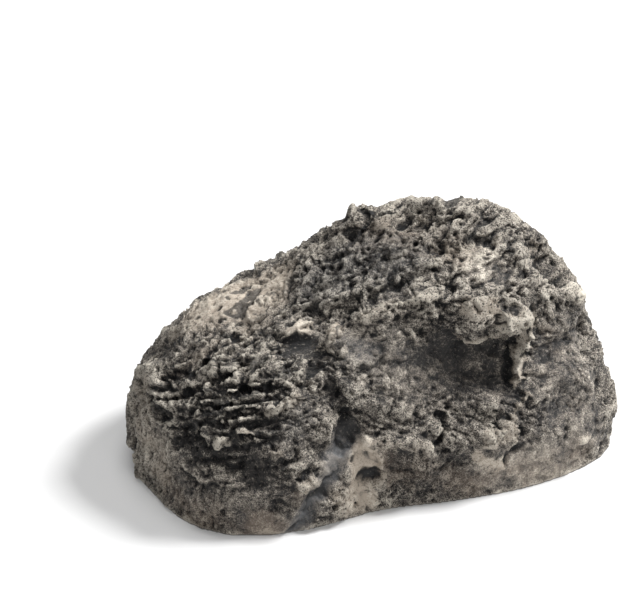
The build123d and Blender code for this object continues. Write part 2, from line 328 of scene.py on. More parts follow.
# %% [markdown]
# The big marks of the face are given one by one, each as a stroke: a few places as they are seen
# in the picture, a half width in millimetres, and how far it stands out or goes in. Each place
# is found on the stone with a ray from the camera. Strokes wander a little, as worn rock does.

# %% Find places on the stone and lay strokes
stone_tree = BVHTree.FromPolygons(
    [Vector(p) for p in points * MM], faces
)
camera_right = np.array([1.0, 0.0, 0.0])
camera_up = np.array([0.0, math.sin(CAMERA_HEIGHT_ANGLE), math.cos(CAMERA_HEIGHT_ANGLE)])
camera_ahead = -np.array(towards_camera)


def place_seen_at(px, py):
    across = (px - IMAGE_WIDTH / 2) / FOCAL_PIXELS
    up = (IMAGE_HEIGHT / 2 - py) / FOCAL_PIXELS
    way = Vector(camera_ahead + camera_right * across + camera_up * up).normalized()
    hit = stone_tree.ray_cast(camera.location, way)[0]
    return None if hit is None else np.array(hit) / MM


def wander(points, size, amount):
    vectors = [noise.noise_vector(Vector(p) / size) for p in points]
    return points + np.array(vectors) * amount


warped = wander(wander(points, 5.0, 1.5), 1.7, 0.75)


def stroke_share(places, half_width):
    """How strongly each point of the net lies under a stroke, from 0 to 1."""
    route = [p for p in (place_seen_at(*place) for place in places) if p is not None]
    if not route:
        print("no stone at", places)
        return np.zeros(len(points))
    if len(route) == 1:
        route = route * 2
    nearest = np.full(len(points), np.inf)
    for start, end in zip(route, route[1:]):
        run = end - start
        along = np.clip((warped - start) @ run / max(run @ run, 1e-9), 0, 1)
        gap = np.linalg.norm(warped - start - along[:, None] * run, axis=1)
        nearest = np.minimum(nearest, gap)
    return np.clip(1 - (nearest / half_width) ** 2, 0, 1) ** 2


# %% The big marks of the face
STROKES = [
    # the lobe on the left: a shelf of ledges over a dark recess, then out again to the foot
    ([(205, 392)], 14, 0.5),
    ([(182, 440), (225, 455), (258, 470)], 6.0, -2.0),
    ([(218, 440), (252, 434)], 2.0, 1.6),
    ([(190, 500), (250, 505)], 7.0, 0.7),
    ([(165, 398), (200, 392)], 1.4, -1.6),
    ([(195, 408), (232, 402)], 1.6, -1.9),
    ([(230, 396), (255, 385)], 1.5, -1.7),
    ([(180, 426), (215, 424)], 1.5, -1.7),
    ([(222, 420), (252, 414)], 1.4, -1.7),
    ([(150, 405), (166, 420)], 1.2, -1.2),
    ([(212, 380), (232, 374)], 1.5, -1.5),
    ([(238, 366), (262, 356)], 1.7, -1.7),
    ([(160, 380), (185, 372)], 1.3, -1.3),
    ([(262, 380), (282, 372)], 1.8, -1.6),
    ([(235, 333)], 1.7, -1.6),
    ([(205, 362)], 1.7, -1.5),
    ([(245, 345)], 1.7, -1.6),
    ([(128, 386)], 2.0, 0.8),
    ([(270, 526)], 5, 0.6),
    # the valley between the lobe and the mass, with its smooth groove
    ([(284, 368), (298, 345)], 4.0, -1.8),
    ([(318, 356), (334, 388), (345, 416), (348, 434)], 4.5, -1.6),
    ([(346, 392), (348, 426)], 1.3, -2.2),
    ([(348, 434), (338, 456), (326, 477), (318, 496), (301, 515), (289, 530)], 2.9, -1.7),
    ([(292, 521), (335, 512)], 6.0, 1.5),
    ([(300, 330)], 3.8, 1.5),
    ([(335, 333)], 2.6, 1.1),
    ([(262, 412), (300, 396)], 1.8, 1.3),
    ([(262, 462), (275, 452)], 1.8, 1.2),
    ([(303, 488), (320, 472), (344, 452)], 2.2, 1.6),
    ([(364, 440), (384, 470), (392, 498)], 1.8, 1.1),
    ([(362, 455), (360, 500)], 4.2, -1.0),
    ([(372, 478)], 3.8, -2.2),
    ([(383, 446), (405, 440), (432, 448)], 2.8, 1.2),
    ([(443, 413), (444, 438)], 1.1, -1.6),
    # the hollow under the brow, and the brow
    ([(428, 345), (450, 360), (478, 366), (503, 360)], 8.0, -1.1),
    ([(436, 334), (462, 346), (500, 348)], 4.5, -1.3),
    ([(466, 341), (496, 337)], 1.6, 1.2),
    ([(368, 314), (405, 303), (440, 300), (478, 306)], 3.4, 1.1),
    ([(420, 330), (436, 322)], 2.0, -1.0),
    # the outcrop
    ([(505, 318), (526, 319)], 2.6, 2.0),
    ([(506, 327), (527, 329)], 2.6, 2.0),
    ([(523, 334), (521, 356), (518, 376)], 2.2, 2.9),
    ([(509, 341), (508, 374)], 2.0, -2.2),
    # below the outcrop and at the lower right
    ([(484, 446), (505, 424), (531, 394)], 1.4, 1.3),
    ([(521, 446), (505, 460), (472, 499)], 1.6, -1.5),
    ([(482, 436), (516, 430)], 3.0, 1.0),
    ([(540, 400), (560, 372)], 3.0, 0.9),
    ([(545, 352), (566, 340)], 3.0, -0.9),
    ([(575, 292)], 4.4, 2.6),
    ([(538, 240), (552, 262)], 6.5, -3.0),
    ([(556, 270), (570, 282)], 5.0, -1.0),
    ([(588, 335), (600, 362), (606, 385)], 7.0, -1.9),
    ([(250, 279), (275, 270)], 7.0, -1.6),
    ([(404, 214), (424, 213)], 6.0, -3.0),
    ([(356, 217)], 6.5, 3.0),
    ([(584, 322)], 4.0, -1.0),
    ([(583, 438)], 2.1, 1.1),
    # the top
    ([(365, 222)], 2.4, -2.0),
    ([(390, 260)], 2.6, -2.0),
    ([(392, 254), (405, 249)], 1.8, 1.1),
    ([(425, 268), (438, 263)], 1.8, 1.1),
    ([(300, 285), (350, 262), (390, 246)], 2.6, 0.9),
    ([(345, 300), (395, 278), (430, 262)], 2.2, 0.8),
    ([(320, 272), (372, 250)], 2.0, -1.0),
    ([(440, 280), (480, 262), (505, 250)], 2.2, 0.8),
    ([(470, 285), (520, 268)], 2.6, -0.9),
]
HOLES = [
    (519, 282), (539, 306), (456, 297), (560, 305), (585, 422), (568, 434), (582, 460),
    (570, 458), (540, 483), (353, 495), (357, 505), (368, 507), (382, 503), (395, 500),
    (399, 507), (430, 500), (458, 498), (490, 495), (335, 333), (251, 300), (228, 318),
]
HOLE_HALF_WIDTH, HOLE_DEPTH = 0.75, -1.1
normals = read_normals(stone_mesh)
lift = np.zeros(len(points))
for places, half_width, height in STROKES:
    lift += stroke_share(places, half_width) * height
for place in HOLES:
    lift += stroke_share([place], HOLE_HALF_WIDTH) * HOLE_DEPTH
lift = np.maximum(lift, -np.maximum(room, 0))
points += normals * (lift * free)[:, None]
write_points(stone_mesh, points)
room = np.maximum(room_inwards(points), 0)
write_value(stone_mesh, "room", room)
print("room for the weathering", np.percentile(room[free > 0], [1, 5, 25, 50]).round(2))
print("strokes", len(STROKES), "holes", len(HOLES))

# %% Where each kind of weathering, each colour, and the painted light and shade lie
GROOVE = [(348, 434), (338, 456), (326, 477), (318, 496), (301, 515), (289, 530)]
PATCHES = {
    "smoothed": [
        (GROOVE, 3.0, 1.0), ([(360, 448), (367, 470), (363, 500)], 5.2, 1.0),
        ([(300, 330)], 4.0, 0.8), ([(335, 333)], 2.8, 0.8),
        ([(250, 530), (290, 524)], 5.5, 0.8), ([(215, 305), (262, 288)], 9.0, 0.75),
        ([(500, 470), (560, 462)], 10.0, 0.85), ([(576, 291)], 4.8, 0.5),
        ([(470, 265), (500, 270)], 4.5, 0.6), ([(370, 350), (420, 380)], 9.0, 0.6),
        ([(445, 362), (502, 368)], 9.0, 0.4), ([(560, 360), (575, 440)], 12.0, 0.5),
        ([(150, 440), (185, 500)], 9.0, 0.4), ([(215, 490), (280, 500)], 9.0, 0.3),
    ],
    "creamy": [
        ([(210, 304), (268, 284)], 10.5, 1.15), ([(250, 322), (270, 300)], 7.0, 0.8),
        ([(176, 332), (215, 316)], 6.5, 0.75), ([(235, 335), (262, 330)], 4.0, 0.5),
        ([(300, 330)], 4.4, 0.95), ([(335, 333)], 3.4, 0.95), ([(318, 345), (345, 352)], 2.6, 0.6),
        ([(264, 412), (296, 398)], 2.4, 0.9), ([(218, 440), (250, 434)], 2.6, 0.7),
        ([(262, 462), (275, 452)], 2.8, 0.9), ([(303, 488), (344, 456)], 3.2, 0.7),
        ([(360, 450), (366, 468), (356, 500)], 5.0, 0.9), ([(340, 494), (346, 506), (372, 500)], 3.6, 1.0),
        ([(383, 446), (432, 448)], 3.6, 0.6), ([(404, 462), (420, 470)], 2.6, 0.5),
        ([(368, 314), (405, 303), (440, 300)], 3.4, 0.6), ([(470, 308), (497, 310)], 3.4, 1.0),
        ([(503, 322), (528, 323)], 4.2, 1.2), ([(523, 334), (521, 356), (518, 376)], 3.0, 1.3),
        ([(486, 438), (512, 430)], 3.0, 0.9), ([(484, 446), (505, 424), (531, 394)], 1.8, 0.8),
        ([(500, 205), (540, 240)], 5.0, 0.6), ([(470, 250), (490, 240)], 4.0, 0.6),
        ([(462, 343), (498, 339)], 2.4, 0.8), ([(583, 438)], 2.6, 0.6),
        ([(480, 458), (500, 466)], 2.4, 0.8), ([(510, 480), (545, 470)], 3.0, 0.45),
        ([(590, 352), (600, 392)], 2.6, 0.5), ([(392, 254), (405, 249)], 2.0, 0.7),
        ([(350, 206), (375, 207)], 1.8, 0.8), ([(418, 211), (432, 213)], 2.0, 0.7),
        ([(272, 352), (288, 330)], 2.8, 0.45), ([(222, 372), (240, 350)], 3.0, 0.35),
    ],
    "browned": [
        ([(370, 235), (450, 250)], 8.0, 0.7), ([(140, 400), (160, 470)], 9.0, 0.6),
        ([(160, 480), (215, 520)], 8.0, 0.7), ([(260, 528)], 7.0, 0.9),
        ([(380, 462), (470, 485)], 7.0, 0.75), ([(500, 470), (580, 455)], 8.0, 0.6),
        ([(185, 325), (215, 335)], 7.0, 0.5), ([(300, 500), (340, 490)], 5.0, 0.5),
        ([(540, 340), (570, 400)], 8.0, 0.4), ([(180, 380), (200, 350)], 7.0, 0.5),
    ],
    # partly dark paint and partly painted shade: darker in the hollow under the brow, the lobe's undercut, the valley,
    # the cleft, the groove and the cracks
    "dark_paint_and_painted_shade": [
        ([(200, 405), (268, 392)], 8.5, 0.75), ([(185, 440), (258, 468)], 7.5, 0.95),
        ([(262, 440), (275, 420)], 5.0, 0.5),
        ([(284, 372), (298, 345)], 5.5, 0.9), ([(372, 478)], 3.6, 0.8),
        ([(440, 350), (470, 366), (504, 368)], 7.0, 0.5), ([(510, 340), (509, 372)], 2.2, 0.9),
        ([(365, 222)], 3.0, 0.9), ([(390, 260)], 3.2, 0.9),
        ([(320, 270), (352, 292)], 6.5, 0.75), ([(340, 262), (385, 262)], 5.5, 0.7),
        ([(405, 215), (470, 212)], 4.5, 0.45), ([(346, 385), (348, 430)], 3.2, 0.85),
        ([(443, 413), (444, 438)], 1.8, 0.8), ([(335, 365), (345, 400)], 4.0, 0.6),
        ([(400, 490), (455, 492)], 4.0, 0.6), ([(480, 285), (525, 268)], 4.0, 0.4),
        ([(448, 400), (470, 420)], 5.0, 0.5), ([(530, 350), (545, 420)], 5.5, 0.4),
        ([(380, 300), (350, 312)], 3.5, 0.5), ([(600, 400), (585, 455)], 3.5, 0.3),
    ],
    "bluish": [
        (GROOVE, 3.0, 1.0), ([(315, 285), (360, 262), (395, 262)], 8.0, 0.6),
        ([(345, 345), (365, 360)], 4.0, 0.35), ([(280, 430), (300, 420)], 4.0, 0.35),
    ],
    "ledged": [
        ([(172, 402), (250, 394)], 10.5, 1.0), ([(190, 430), (258, 428)], 7.5, 0.9),
        ([(205, 362), (262, 350)], 8.5, 0.6), ([(200, 462), (255, 478)], 7.0, 0.5),
    ],
    "dimpled": [
        ([(205, 310), (268, 286)], 11.0, 1.0), ([(500, 212), (535, 238)], 6.0, 0.7),
        ([(488, 318), (515, 322)], 4.0, 0.6),
    ],
    # lit and dim are painted light and painted shade: paler where the light falls, darker in the shaded hollows
    "lit": [
        ([(395, 225), (465, 285)], 16.0, 0.45), ([(340, 240), (390, 280)], 12.0, 0.3),
        ([(480, 220), (535, 270)], 12.0, 0.4), ([(275, 300), (325, 290)], 9.0, 0.35),
        ([(576, 290)], 5.5, 1.0), ([(505, 458), (585, 460)], 8.0, 0.3),
        ([(135, 390), (155, 460)], 10.0, 1.1), ([(523, 334), (521, 356), (518, 376)], 3.2, 1.6),
        ([(503, 320), (528, 323)], 4.6, 1.2), ([(400, 220), (470, 260)], 14.0, 0.3),
        ([(200, 350), (250, 340)], 6.0, 0.3),
    ],
    "dim": [
        ([(440, 355), (500, 375)], 10.0, 0.8), ([(190, 445), (258, 465)], 9.0, 0.6),
        ([(250, 525), (290, 520)], 7.0, 0.4), ([(545, 330), (580, 420)], 12.0, 0.35),
        (GROOVE, 3.4, 0.4),
    ],
    "striped": [
        ([(365, 345), (420, 385)], 10.0, 1.0), ([(440, 360), (490, 385)], 8.0, 0.6),
        ([(520, 440), (470, 495)], 5.0, 0.7),
    ],
}
covers = {}
for name, marks in PATCHES.items():
    cover = np.zeros(len(points))
    for places, half_width, amount in marks:
        cover = np.maximum(cover, np.sqrt(stroke_share(places, half_width)) * amount)
    covers[name] = cover
    write_value(stone_mesh, name, cover)
write_value(stone_mesh, "free", free)

x, y, z = points.T


def ramp(values, low, high):
    share = np.clip((values - low) / (high - low), 0, 1)
    return share * share * (3 - 2 * share)


on_back = ramp(normals[:, 1], 0.0, 0.5)
on_lobe = ramp(-x, 8, 20) * ramp(z, 8, 16) * np.maximum(on_back, 0.15)
on_lobe = np.maximum(covers["ledged"], 0.8 * on_lobe)
write_value(stone_mesh, "on_lobe", on_lobe)
write_value(stone_mesh, "on_foot", ramp(-z, -20, -8) * ramp(-x, 14, 34))
on_top = ramp(normals[:, 2], 0.40, 0.75) * ramp(z, 24, 36)
write_value(stone_mesh, "on_top", on_top)
knobby = 0.25 * ramp(z, 18, 30) - 0.20 * ramp(normals[:, 0], 0.2, 0.6)
write_value(stone_mesh, "rough", np.clip(0.34 + 0.66 * on_top + 0.25 * on_lobe + knobby, 0, 1))

# %% [markdown]
# The weathering itself follows rules, so Geometry Nodes make it: pits, pores, ledges and grain
# are noises and cells that push each point in or out along its normal. The sizes are inputs of
# the group, so they can be turned up or down without touching a node.

# %% Build the weathering group
def weathering_group():
    group = bpy.data.node_groups.new("stone_weathering", "GeometryNodeTree")
    ends = group.interface
    ends.new_socket("Geometry", in_out="INPUT", socket_type="NodeSocketGeometry")
    sizes = ["Lump height", "Flake height", "Crag height", "Pit depth", "Ledge depth"]
    for name in [*sizes, "Rib depth", "Grain height", "Seed"]:
        ends.new_socket(name, in_out="INPUT", socket_type="NodeSocketFloat")
    ends.new_socket("Finish", in_out="INPUT", socket_type="NodeSocketMaterial")
    ends.new_socket("Geometry", in_out="OUTPUT", socket_type="NodeSocketGeometry")
    given = group.nodes.new("NodeGroupInput")
    made = group.nodes.new("NodeGroupOutput")

    def field(name):
        node = add(group, "GeometryNodeInputNamedAttribute", {"Name": name}, data_type="FLOAT")
        return node.outputs[0]

    position = group.nodes.new("GeometryNodeInputPosition").outputs[0]
    in_mm = add(group, "ShaderNodeVectorMath", {0: position, 3: 1000.0}, operation="SCALE").outputs[0]
    shift = add(group, "ShaderNodeCombineXYZ", {0: given.outputs["Seed"]}).outputs[0]
    seeded = add(group, "ShaderNodeVectorMath", {0: in_mm, 1: shift}, operation="ADD").outputs[0]

    def stretched(angles, stretch):
        turned = add(group, "ShaderNodeVectorRotate", {0: seeded, 4: angles}, rotation_type="EULER_XYZ")
        return add(
            group, "ShaderNodeVectorMath", {0: turned.outputs[0], 1: stretch}, operation="MULTIPLY"
        ).outputs[0]

    def cloud(place, size, detail=3.0, rough=0.55, twist=0.0):
        feed = {"Vector": place, "Scale": 1 / size, "Detail": detail, "Roughness": rough, "Distortion": twist}
        return add(group, "ShaderNodeTexNoise", feed).outputs[0]

    def cells(place, size, feature="F1", smooth=0.3):
        feed = {"Vector": place, "Scale": 1 / size, "Randomness": 1.0}
        node = add(group, "ShaderNodeTexVoronoi", feed, feature=feature)
        return node

    def times(*values):
        result = values[0]
        for value in values[1:]:
            result = calc(group, "MULTIPLY", result, value)
        return result

    def plus(*values):
        result = values[0]
        for value in values[1:]:
            result = calc(group, "ADD", result, value)
        return result

    def crests(place, size, narrow=4.0):
        """High along the middle of a cloud's swing, low to both sides."""
        swing = calc(group, "SUBTRACT", cloud(place, size, 2.5, 0.55, 0.5), 0.5)
        return calc(group, "SUBTRACT", 0.30, times(calc(group, "ABSOLUTE", swing), narrow))

    def scarps(place, size, steps):
        """Each level of a cloud rises gently and then drops, as the edge of a broken flake does."""
        part = calc(group, "FRACT", times(cloud(place, size, 2.5, 0.5, 0.4), steps))
        return calc(group, "SUBTRACT", times(part, between(group, part, 0.74, 0.94, 1.0, 0.0)), 0.35)

    def stairs(place, size, steps):
        """A cloud cut into level steps with short steep risers, as where flakes broke off."""
        scaled = times(cloud(place, size, 4.0, 0.55, 0.4), steps)
        part = calc(group, "FRACT", scaled)
        riser = between(group, part, 0.55, 0.85)
        level = calc(group, "SUBTRACT", scaled, part)
        return calc(group, "DIVIDE", plus(level, riser), steps)

    top, lobe, rough = field("on_top"), field("on_lobe"), field("rough")
    face = times(calc(group, "SUBTRACT", 1.0, top), calc(group, "SUBTRACT", 1.0, times(lobe, 0.75)))

    # swellings from a centimetre wide down to a millimetre
    lumps = calc(group, "SUBTRACT", cloud(seeded, 9.0, 4.0, 0.5), 0.5)
    lumps = times(lumps, 4.5, given.outputs["Lump height"])

    # flakes: level steps on the face, drawn out a little along the dip of the stone
    dipping = stretched((0.0, math.radians(-28), 0.0), (0.55, 0.8, 1.0))
    flakes = calc(group, "SUBTRACT", stairs(dipping, 6.5, 7.0), 0.5)
    flakes = times(flakes, 5.0, given.outputs["Flake height"], calc(group, "SUBTRACT", 1.0, times(top, 0.5)))

    # sharp crags, drawn out along the stone's bedding on top
    bedded = stretched((0.0, 0.0, math.radians(-45)), (0.22, 1.0, 1.0))
    high = plus(times(scarps(bedded, 6.4, 6.0), 1.7), times(scarps(bedded, 2.8, 4.0), 0.3))
    high = plus(high, times(crests(bedded, 7.0), 0.5))
    low = times(scarps(seeded, 4.6, 4.0), 0.4)
    crags = plus(times(high, top), times(low, face))
    crags = times(crags, given.outputs["Crag height"], rough)

    # cracks: thin and deep, where two flakes part
    crack = calc(group, "ABSOLUTE", calc(group, "SUBTRACT", cloud(dipping, 5.5, 4.0, 0.6, 0.8), 0.5))
    cracks = times(between(group, crack, 0.0, 0.022, -1.0, 0.0), given.outputs["Pit depth"], 0.9)

    # ragged pits where a cloud is thick, and a few round bubbles
    gently = stretched((0.0, 0.0, math.radians(-45)), (0.5, 1.0, 1.0))
    pitted = plus(rough, times(lobe, 0.45))
    pits = times(between(group, cloud(gently, 3.4, 2.5, 0.5, 0.8), 0.57, 0.62, 0.0, -1.1), pitted)
    pores = times(between(group, cloud(seeded, 1.3, 2.0, 0.5, 0.8), 0.64, 0.68, 0.0, -0.6), pitted)
    cell = cells(seeded, 3.4)
    bowl = between(group, cell.outputs["Distance"], 0.08, 0.24, 1.0, 0.0)
    colour = add(group, "FunctionNodeSeparateColor", {0: cell.outputs["Color"]}).outputs[0]
    bubbles = times(bowl, between(group, colour, 0.70, 0.75), -1.3)
    pits = times(plus(pits, pores, bubbles), given.outputs["Pit depth"])

    # ledges across the lobe, and steep ribs at its foot
    level = stretched((math.radians(8), math.radians(7), 0.0), (0.16, 0.3, 1.0))
    gash = between(group, cloud(level, 1.9, 2.0, 0.5, 0.5), 0.53, 0.57, 0.0, -1.6)
    ledge = plus(times(scarps(level, 4.2, 5.0), 1.2), times(crests(level, 3.2), 0.25), gash)
    ledges = times(ledge, lobe, given.outputs["Ledge depth"])
    steep = stretched((math.radians(20), math.radians(-24), 0.0), (1.0, 1.0, 0.16))
    ribs = times(crests(steep, 1.8, 3.0), field("on_foot"), given.outputs["Rib depth"])

    # fine stripes on the plane left of the hollow, as if it had been scraped
    scraped = stretched((0.0, math.radians(-40), 0.0), (0.12, 0.5, 1.0))
    stripes = calc(group, "SUBTRACT", cloud(scraped, 1.1, 2.0, 0.5), 0.5)
    stripes = times(stripes, 2.2, field("striped"), given.outputs["Grain height"])

    grain = calc(group, "SUBTRACT", cloud(seeded, 1.0, 4.0, 0.7), 0.5)
    grain = times(grain, 4.5, given.outputs["Grain height"])

    # shallow dimples in the sandy patch, like the cups of a honeycomb
    cup = cells(seeded, 1.5).outputs["Distance"]
    dimples = times(between(group, cup, 0.0, 0.55, -0.45, 0.1), field("dimpled"))
    floor_depth = calc(group, "MULTIPLY", field("room"), -1.0)
    sunk = plus(pits, cracks, times(gash, lobe, given.outputs["Ledge depth"]))
    sunk = calc(group, "MAXIMUM", sunk, floor_depth)
    total = plus(lumps, flakes, crags, cracks, pits, ledges, ribs, grain)
    total = calc(group, "MAXIMUM", calc(group, "MINIMUM", total, 2.0), -1.9)
    calm = calc(group, "SUBTRACT", 1.0, times(field("smoothed"), 0.85))
    total = times(plus(times(total, calm), stripes, dimples), field("free"))
    total = calc(group, "MAXIMUM", total, floor_depth)
    normal = group.nodes.new("GeometryNodeInputNormal").outputs[0]
    metres = calc(group, "MULTIPLY", total, MM)
    offset = add(group, "ShaderNodeVectorMath", {0: normal, 3: metres}, operation="SCALE").outputs[0]
    moved = add(group, "GeometryNodeSetPosition", {"Geometry": given.outputs["Geometry"], "Offset": offset})
    kept = add(group, "GeometryNodeStoreNamedAttribute", {"Geometry": moved.outputs[0], "Name": "sunk", "Value": sunk}, data_type="FLOAT", domain="POINT")
    real = add(group, "GeometryNodeRealizeInstances", {"Geometry": kept.outputs[0]})
    painted = add(group, "GeometryNodeSetMaterial", {"Geometry": real.outputs[0], "Material": given.outputs["Finish"]})
    group.links.new(painted.outputs[0], made.inputs[0])
    return group


# %% [markdown]
# The stone's paint: charcoal in the pits, mid grey on the swells, and pale dry-brushed crests,
# with cream, brown and bluish patches where the photograph shows them.

# %% The painted stone finish
stone_finish, tree, shader, place = new_finish("weathered_stone_paint")
place_mm = add(tree, "ShaderNodeVectorMath", {0: place, 3: 1000.0}, operation="SCALE").outputs[0]


def stain(name):
    return add(tree, "ShaderNodeAttribute", attribute_name=name).outputs["Fac"]


def speckle(size, detail=4.0, rough=0.6):
    feed = {"Vector": place_mm, "Scale": 1 / size, "Detail": detail, "Roughness": rough}
    return add(tree, "ShaderNodeTexNoise", feed).outputs[0]


def tone_steps(tree, value, steps):
    """A colour ramp from dark to light."""
    ramp_node = add(tree, "ShaderNodeValToRGB", {0: value})
    stops = ramp_node.color_ramp.elements
    while len(stops) < len(steps):
        stops.new(1.0)
    for stop, (at, tone) in zip(stops, steps):
        stop.position, stop.color = at, tone
    return ramp_node.outputs[0]


def swing(value, amount):
    """The value's swing about a half, this many times as large."""
    return calc(tree, "MULTIPLY", calc(tree, "SUBTRACT", value, 0.5), amount)


fine, broad = stain("crest_fine"), stain("crest_broad")
mottle, speck, grain = speckle(7.0, 5.0, 0.65), speckle(1.6), speckle(0.5, 3.0)
grit = speckle(0.26, 2.0, 0.7)
uneven = calc(tree, "SUBTRACT", 1.0, calc(tree, "MULTIPLY", stain("smoothed"), 0.7))
crest, hollow = calc(tree, "MAXIMUM", fine, 0.0), calc(tree, "MINIMUM", fine, 0.0)
# this tone holds the paint's wear and, further down, painted light and painted shade
wear_and_painted_light = calc(tree, "ADD", calc(tree, "MULTIPLY", crest, 0.13), calc(tree, "MULTIPLY", hollow, 0.22))
in_lobe = calc(tree, "MULTIPLY", calc(tree, "MULTIPLY", fine, 0.16), stain("on_lobe"))
wear_and_painted_light = calc(tree, "ADD", wear_and_painted_light, calc(tree, "MULTIPLY", broad, 0.10))
wear_and_painted_light = calc(tree, "ADD", wear_and_painted_light, in_lobe)
wear_and_painted_light = calc(tree, "ADD", wear_and_painted_light, swing(mottle, 0.9))
wear_and_painted_light = calc(tree, "ADD", wear_and_painted_light, swing(speck, 0.8))
gritty = calc(tree, "ADD", swing(grain, 0.9), swing(grit, 1.6))
wear_and_painted_light = calc(tree, "ADD", wear_and_painted_light, calc(tree, "MULTIPLY", gritty, uneven))
# painted light and painted shade: the tone is lifted where the light falls and lowered in the shaded hollows
wear_and_painted_light = calc(tree, "ADD", wear_and_painted_light, calc(tree, "MULTIPLY", stain("lit"), 0.24))
wear_and_painted_light = calc(tree, "SUBTRACT", wear_and_painted_light, calc(tree, "MULTIPLY", stain("dim"), 0.24))
INK, CHARCOAL, GREY = paint(11, 11, 12), paint(48, 46, 45), paint(106, 99, 91)
PALE, CREAM = paint(156, 148, 137), paint(212, 204, 190)
BROWN, BLUE_GREY, BEIGE = paint(100, 86, 74), paint(88, 89, 91), paint(172, 160, 145)
shade = calc(tree, "ADD", calc(tree, "MULTIPLY", wear_and_painted_light, 1.3), 0.535)
colour = tone_steps(tree, shade, [(0.0, INK), (0.26, CHARCOAL), (0.52, GREY), (0.78, PALE), (1.0, CREAM)])
browned = calc(tree, "ADD", stain("browned"), swing(mottle, 1.6))
colour = mixed(tree, between(tree, browned, 0.3, 0.9, 0.0, 0.6), colour, BROWN)
pale_brown = mixed(tree, between(tree, wear_and_painted_light, 0.0, 0.4), colour, BEIGE)
colour = mixed(tree, between(tree, browned, 0.3, 0.9, 0.0, 0.6), colour, pale_brown)
creamy = calc(tree, "ADD", calc(tree, "MULTIPLY", stain("creamy"), 1.2), calc(tree, "MULTIPLY", wear_and_painted_light, 0.75))
cream = mixed(tree, between(tree, wear_and_painted_light, -0.1, 0.6), BEIGE, CREAM)
colour = mixed(tree, between(tree, creamy, 0.45, 0.95, 0.0, 0.85), colour, cream)
colour = mixed(tree, calc(tree, "MULTIPLY", stain("bluish"), 0.75), colour, BLUE_GREY)
# charcoal where the stone is dark-painted, and painted shade in its recesses
dark_paint_and_painted_shade = calc(tree, "SUBTRACT", stain("dark_paint_and_painted_shade"), calc(tree, "MULTIPLY", wear_and_painted_light, 1.1))
colour = mixed(tree, between(tree, dark_paint_and_painted_shade, 0.25, 0.95, 0.0, 0.85), colour, CHARCOAL)
colour = mixed(tree, between(tree, fine, -1.2, -0.4, 0.95, 0.0), colour, INK)
colour = mixed(tree, between(tree, stain("sunk"), -0.95, -0.25, 0.8, 0.0), colour, INK)
pins = calc(tree, "MULTIPLY", between(tree, speckle(0.42, 2.0), 0.57, 0.63, 0.0, 0.9), uneven)
flecks = calc(tree, "MULTIPLY", between(tree, speckle(0.6, 3.0), 0.58, 0.66, 0.0, 0.6), uneven)
colour = mixed(tree, flecks, colour, PALE)
colour = mixed(tree, pins, colour, INK)
bare = mixed(tree, speckle(5.0, 3.0), paint(92, 90, 87), paint(122, 119, 114))
bare = mixed(tree, between(tree, speckle(0.5, 2.0), 0.60, 0.70, 0.0, 0.5), bare, paint(70, 68, 66))
skin = between(tree, stain("free"), 0.02, 0.35)
colour = mixed(tree, skin, bare, colour)
tree.links.new(colour, shader.inputs["Base Color"])
tree.links.new(between(tree, wear_and_painted_light, -0.4, 0.5, 0.5, 0.8), shader.inputs["Roughness"])
shader.inputs["Specular IOR Level"].default_value = 0.4
surface = calc(tree, "ADD", speckle(0.9, 6.0, 0.8), calc(tree, "MULTIPLY", speckle(0.3, 3.0), 0.6))
bump = add(tree, "ShaderNodeBump", {"Height": surface, "Distance": 1.5 * MM, "Strength": 0.9})
bumpy = calc(tree, "MULTIPLY", uneven, between(tree, stain("free"), 0.02, 0.35, 0.12, 0.9))
tree.links.new(bumpy, bump.inputs["Strength"])
tree.links.new(bump.outputs[0], shader.inputs["Normal"])

# %% Weather the stone
stone = as_object("stone_skin", stone_mesh)
weathering = stone.modifiers.new("weathering", "NODES")
weathering.node_group = weathering_group()
WEATHERING = {
    "Lump height": 0.9, "Flake height": 0.75, "Crag height": 0.75, "Pit depth": 0.8,
    "Ledge depth": 0.9, "Rib depth": 1.6, "Grain height": 0.15, "Seed": 7.0, "Finish": stone_finish,
}
for item in weathering.node_group.interface.items_tree:
    if item.name in WEATHERING:
        weathering[item.identifier] = WEATHERING[item.name]
weathered = evaluated_mesh(stone)
stone.modifiers.clear()
stone.data = weathered

# %% Keep the most telling points
INSIDE_TRIANGLES, TRIANGLE_BUDGET = 9000, 196000


def count_triangles(mesh):
    return sum(len(face.vertices) - 2 for face in mesh.polygons)


def thin_out(obj, wanted, inside):
    """Merges points until this many triangles are left, on the hidden inside or on the skin."""
    skin_share = np.empty(len(obj.data.vertices), np.float32)
    obj.data.attributes["free"].data.foreach_get("value", skin_share)
    chosen = np.flatnonzero((skin_share < 0.001) == inside)
    group = obj.vertex_groups.new(name="thinned")
    group.add(chosen.tolist(), 1.0, "REPLACE")
    fewer = obj.modifiers.new("fewer_points", "DECIMATE")
    fewer.vertex_group, fewer.vertex_group_factor = "thinned", 10.0
    fewer.ratio = min(1.0, wanted / count_triangles(obj.data))
    mesh = evaluated_mesh(obj)
    obj.modifiers.clear()
    obj.data = mesh
    obj.vertex_groups.clear()
    return mesh


thin_out(stone, 2 * int(outside.sum()) + INSIDE_TRIANGLES, inside=True)
thinned = thin_out(stone, TRIANGLE_BUDGET, inside=False)
print("triangles", count_triangles(weathered), "->", count_triangles(thinned))

